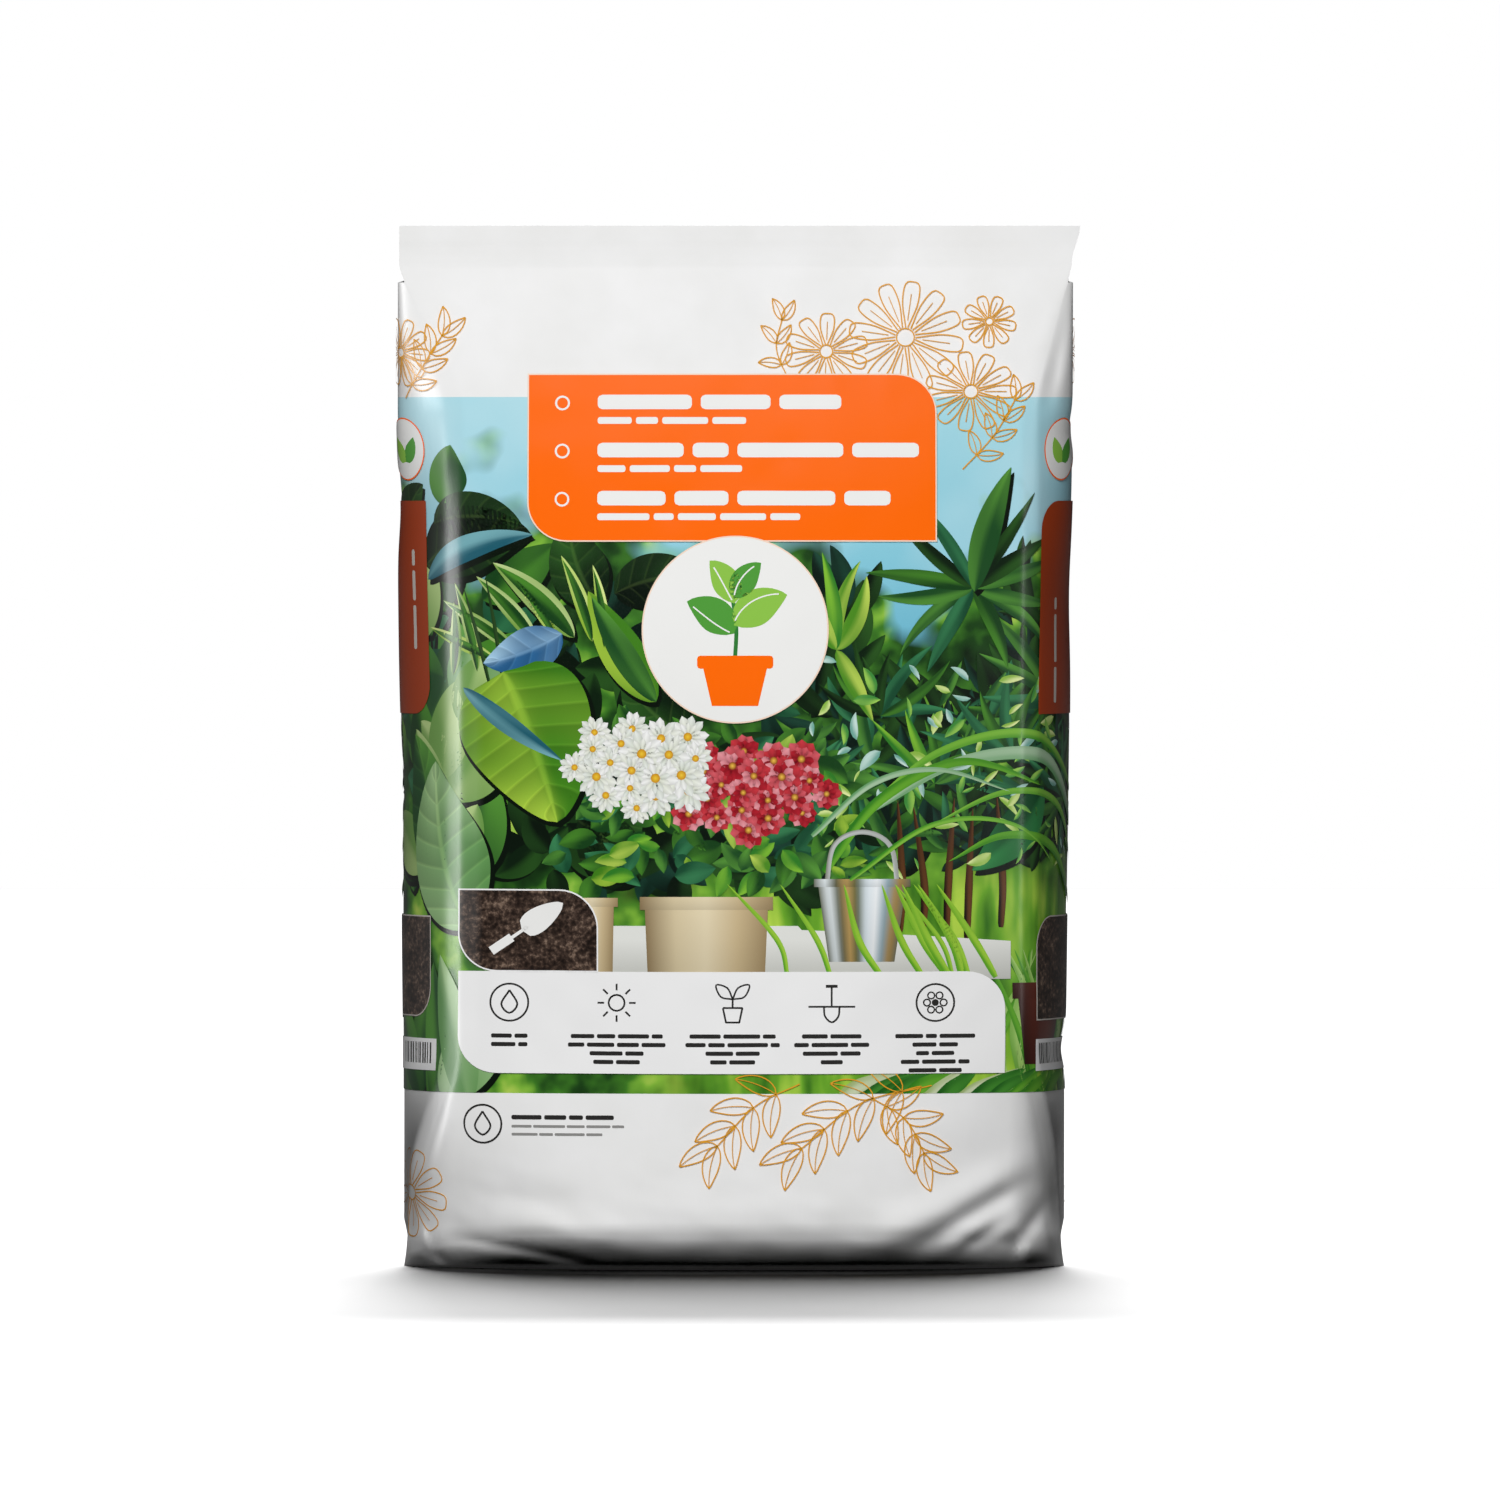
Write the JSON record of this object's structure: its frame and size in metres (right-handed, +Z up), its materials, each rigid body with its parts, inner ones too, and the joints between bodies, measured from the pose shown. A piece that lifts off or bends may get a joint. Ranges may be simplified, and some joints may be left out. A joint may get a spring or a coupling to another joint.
{
  "type": "compost bag",
  "caption": "Sealed printed film bag of potting compost, full and standing upright on a flat base, with side gussets, a welded top fin and folds at its foot",
  "frame": {"origin": "the floor under the middle of the bag's box, which lies on the flat base", "axes": "+Z up to the lip of the top fin, +X across the bag towards its right gusset, front face towards -Y"},
  "size_m": [0.2822, 0.1256, 0.43],
  "materials": {
    "printed_film": "satin white polyethylene film, printed"
  },
  "bodies": {
    "root": {"compost_bag": "printed_film"}
  },
  "joints": []
}
